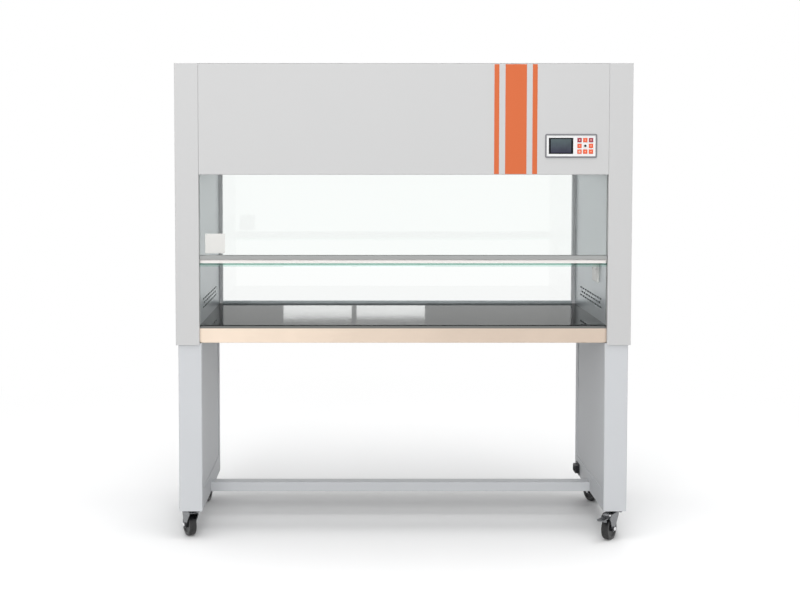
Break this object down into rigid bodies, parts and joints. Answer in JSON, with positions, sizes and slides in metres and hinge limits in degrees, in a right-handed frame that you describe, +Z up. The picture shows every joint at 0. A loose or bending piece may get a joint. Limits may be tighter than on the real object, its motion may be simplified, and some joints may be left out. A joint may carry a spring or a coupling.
{
  "type": "vertical laminar flow cabinet",
  "caption": "Floor-standing clean bench with a sliding glass sash, fan and filter hood, steel worktop and two stand frames on braked swivel casters.",
  "frame": {"origin": "on the floor under the middle of the cabinet body, midway between its sides and between its front and back faces", "axes": "+X to the operator's right, +Y from the operator to the back, +Z up"},
  "size_m": [1.5176, 0.761, 1.58],
  "materials": {
    "painted_shell": "satin powder coat",
    "accent_orange": "satin film",
    "liner_steel": "satin",
    "worktop_steel": "fine brushed",
    "clear_glass": "clear toughened",
    "anodised_aluminium": "satin anodised",
    "galvanised_steel": "galvanised",
    "motor_paint": "satin",
    "impeller_alloy": "as pressed",
    "filter_paper": "matt",
    "lamp_white": "gloss",
    "bezel_grey": "satin",
    "fascia_white": "matt",
    "screen_black": "gloss",
    "board_green": "solder mask",
    "key_orange": "satin",
    "socket_white": "gloss",
    "inlet_black": "matt",
    "weight_iron": "primed",
    "pulley_nylon": "turned",
    "cable_steel": "stranded",
    "zinc_plated": "bright zinc",
    "wheel_black": "matt"
  },
  "bodies": {
    "cabinet": {"accent_stripes": "accent_orange", "blower_housings": "galvanised_steel", "blower_motors": "motor_paint", "cables": "cable_steel", "caster_plates": "zinc_plated", "circuit_board": "board_green", "column_shell_left": "painted_shell", "column_shell_right": "painted_shell", "control_bezel": "bezel_grey", "control_fascia": "fascia_white", "diffuser_plate": "galvanised_steel", "display": "screen_black", "fan_deck": "galvanised_steel", "filter_frame": "anodised_aluminium", "filter_media": "filter_paper", "hood_cover": "painted_shell", "hood_front_panel": "painted_shell", "inner_walls": "liner_steel", "lamps": "lamp_white", "power_inlet": "inlet_black", "prefilter": "filter_paper", "rear_window": "clear_glass", "rear_window_frame": "anodised_aluminium", "sash_guides": "anodised_aluminium", "stand_left": "painted_shell", "stand_right": "painted_shell", "stretcher": "painted_shell", "wall_socket": "socket_white", "work_table": "worktop_steel"},
    "sash": {"sash_glass": "clear_glass", "sash_handle": "anodised_aluminium", "sash_edge_rails": "anodised_aluminium"},
    "counterweight_left": {"counterweight_left": "weight_iron"},
    "counterweight_right": {"counterweight_right": "weight_iron"},
    "pulley_left": {"pulley_left": "pulley_nylon"},
    "pulley_right": {"pulley_right": "pulley_nylon"},
    "impeller_left": {"impeller_left": "impeller_alloy"},
    "impeller_right": {"impeller_right": "impeller_alloy"},
    "swivel_front_left": {"caster_fork_front_left": "zinc_plated"},
    "wheel_front_left": {"caster_wheel_front_left": "wheel_black"},
    "pedal_front_left": {"brake_pedal_front_left": "zinc_plated"},
    "swivel_front_right": {"caster_fork_front_right": "zinc_plated"},
    "wheel_front_right": {"caster_wheel_front_right": "wheel_black"},
    "pedal_front_right": {"brake_pedal_front_right": "zinc_plated"},
    "swivel_rear_left": {"caster_fork_rear_left": "zinc_plated"},
    "wheel_rear_left": {"caster_wheel_rear_left": "wheel_black"},
    "pedal_rear_left": {"brake_pedal_rear_left": "zinc_plated"},
    "swivel_rear_right": {"caster_fork_rear_right": "zinc_plated"},
    "wheel_rear_right": {"caster_wheel_rear_right": "wheel_black"},
    "pedal_rear_right": {"brake_pedal_rear_right": "zinc_plated"},
    "key_1": {"key_1": "key_orange"},
    "key_2": {"key_2": "key_orange"},
    "key_3": {"key_3": "key_orange"},
    "key_4": {"key_4": "key_orange"},
    "key_5": {"key_5": "key_orange"},
    "key_6": {"key_6": "key_orange"},
    "key_7": {"key_7": "key_orange"},
    "key_8": {"key_8": "key_orange"},
    "key_9": {"key_9": "key_orange"}
  },
  "joints": [
    {"name": "sash_slide", "type": "slide", "parent": "cabinet", "child": "sash", "axis": [0, 0, 1], "range_m": [-0.192, 0.105], "deforming": ["cables"]},
    {"name": "counterweight_left_slide", "type": "slide", "parent": "cabinet", "child": "counterweight_left", "axis": [0, 0, 1], "range_m": [-0.105, 0.192]},
    {"name": "pulley_left_turn", "type": "hinge", "parent": "cabinet", "child": "pulley_left", "pos_m": [-0.68, -0.31238, 1.52], "axis": [0, 1, 0], "range_deg": [-202.5, 368.7]},
    {"name": "impeller_left_spin", "type": "hinge", "parent": "cabinet", "child": "impeller_left", "pos_m": [-0.33, 0.01, 1.4412], "axis": [1, 0, 0], "continuous": true},
    {"name": "counterweight_right_slide", "type": "slide", "parent": "cabinet", "child": "counterweight_right", "axis": [0, 0, 1], "range_m": [-0.105, 0.192]},
    {"name": "pulley_right_turn", "type": "hinge", "parent": "cabinet", "child": "pulley_right", "pos_m": [0.68, -0.31238, 1.52], "axis": [0, 1, 0], "range_deg": [-368.7, 202.5]},
    {"name": "impeller_right_spin", "type": "hinge", "parent": "cabinet", "child": "impeller_right", "pos_m": [0.33, 0.01, 1.4412], "axis": [1, 0, 0], "continuous": true},
    {"name": "swivel_front_left_turn", "type": "hinge", "parent": "cabinet", "child": "swivel_front_left", "pos_m": [-0.70425, -0.312, 0.088], "axis": [0, 0, 1], "continuous": true},
    {"name": "wheel_front_left_roll", "type": "hinge", "parent": "swivel_front_left", "child": "wheel_front_left", "pos_m": [-0.71696, -0.28705, 0.0375], "axis": [-0.891, -0.454, 0], "continuous": true},
    {"name": "pedal_front_left_press", "type": "hinge", "parent": "swivel_front_left", "child": "pedal_front_left", "pos_m": [-0.72604, -0.26923, 0.0765], "axis": [-0.891, -0.454, 0], "range_deg": [0, 7]},
    {"name": "swivel_front_right_turn", "type": "hinge", "parent": "cabinet", "child": "swivel_front_right", "pos_m": [0.70425, -0.312, 0.088], "axis": [0, 0, 1], "continuous": true},
    {"name": "wheel_front_right_roll", "type": "hinge", "parent": "swivel_front_right", "child": "wheel_front_right", "pos_m": [0.68819, -0.33494, 0.0375], "axis": [0.8192, -0.5736, 0], "continuous": true},
    {"name": "pedal_front_right_press", "type": "hinge", "parent": "swivel_front_right", "child": "pedal_front_right", "pos_m": [0.67672, -0.35132, 0.0765], "axis": [0.8192, -0.5736, 0], "range_deg": [0, 7]},
    {"name": "swivel_rear_left_turn", "type": "hinge", "parent": "cabinet", "child": "swivel_rear_left", "pos_m": [-0.70425, 0.183, 0.088], "axis": [0, 0, 1], "continuous": true},
    {"name": "wheel_rear_left_roll", "type": "hinge", "parent": "swivel_rear_left", "child": "wheel_rear_left", "pos_m": [-0.70911, 0.15543, 0.0375], "axis": [0.9848, -0.1736, 0], "continuous": true},
    {"name": "pedal_rear_left_press", "type": "hinge", "parent": "swivel_rear_left", "child": "pedal_rear_left", "pos_m": [-0.71259, 0.13573, 0.0765], "axis": [0.9848, -0.1736, 0], "range_deg": [0, 7]},
    {"name": "swivel_rear_right_turn", "type": "hinge", "parent": "cabinet", "child": "swivel_rear_right", "pos_m": [0.70425, 0.183, 0.088], "axis": [0, 0, 1], "continuous": true},
    {"name": "wheel_rear_right_roll", "type": "hinge", "parent": "swivel_rear_right", "child": "wheel_rear_right", "pos_m": [0.71696, 0.15805, 0.0375], "axis": [0.891, 0.454, 0], "continuous": true},
    {"name": "pedal_rear_right_press", "type": "hinge", "parent": "swivel_rear_right", "child": "pedal_rear_right", "pos_m": [0.72604, 0.14023, 0.0765], "axis": [0.891, 0.454, 0], "range_deg": [0, 7]},
    {"name": "key_1_press", "type": "slide", "parent": "cabinet", "child": "key_1", "axis": [0, 1, 0], "range_m": [0, 0.001], "stiffness_N_per_m": 300},
    {"name": "key_2_press", "type": "slide", "parent": "cabinet", "child": "key_2", "axis": [0, 1, 0], "range_m": [0, 0.001], "stiffness_N_per_m": 300},
    {"name": "key_3_press", "type": "slide", "parent": "cabinet", "child": "key_3", "axis": [0, 1, 0], "range_m": [0, 0.001], "stiffness_N_per_m": 300},
    {"name": "key_4_press", "type": "slide", "parent": "cabinet", "child": "key_4", "axis": [0, 1, 0], "range_m": [0, 0.001], "stiffness_N_per_m": 300},
    {"name": "key_5_press", "type": "slide", "parent": "cabinet", "child": "key_5", "axis": [0, 1, 0], "range_m": [0, 0.001], "stiffness_N_per_m": 300},
    {"name": "key_6_press", "type": "slide", "parent": "cabinet", "child": "key_6", "axis": [0, 1, 0], "range_m": [0, 0.001], "stiffness_N_per_m": 300},
    {"name": "key_7_press", "type": "slide", "parent": "cabinet", "child": "key_7", "axis": [0, 1, 0], "range_m": [0, 0.001], "stiffness_N_per_m": 300},
    {"name": "key_8_press", "type": "slide", "parent": "cabinet", "child": "key_8", "axis": [0, 1, 0], "range_m": [0, 0.001], "stiffness_N_per_m": 300},
    {"name": "key_9_press", "type": "slide", "parent": "cabinet", "child": "key_9", "axis": [0, 1, 0], "range_m": [0, 0.001], "stiffness_N_per_m": 300}
  ],
  "couplings": [
    {"joint": "counterweight_left_slide", "follows": "sash_slide", "ratio": -1},
    {"joint": "pulley_left_turn", "follows": "sash_slide", "rad_per_m": -33.333},
    {"joint": "counterweight_right_slide", "follows": "sash_slide", "ratio": -1},
    {"joint": "pulley_right_turn", "follows": "sash_slide", "rad_per_m": 33.333}
  ]
}
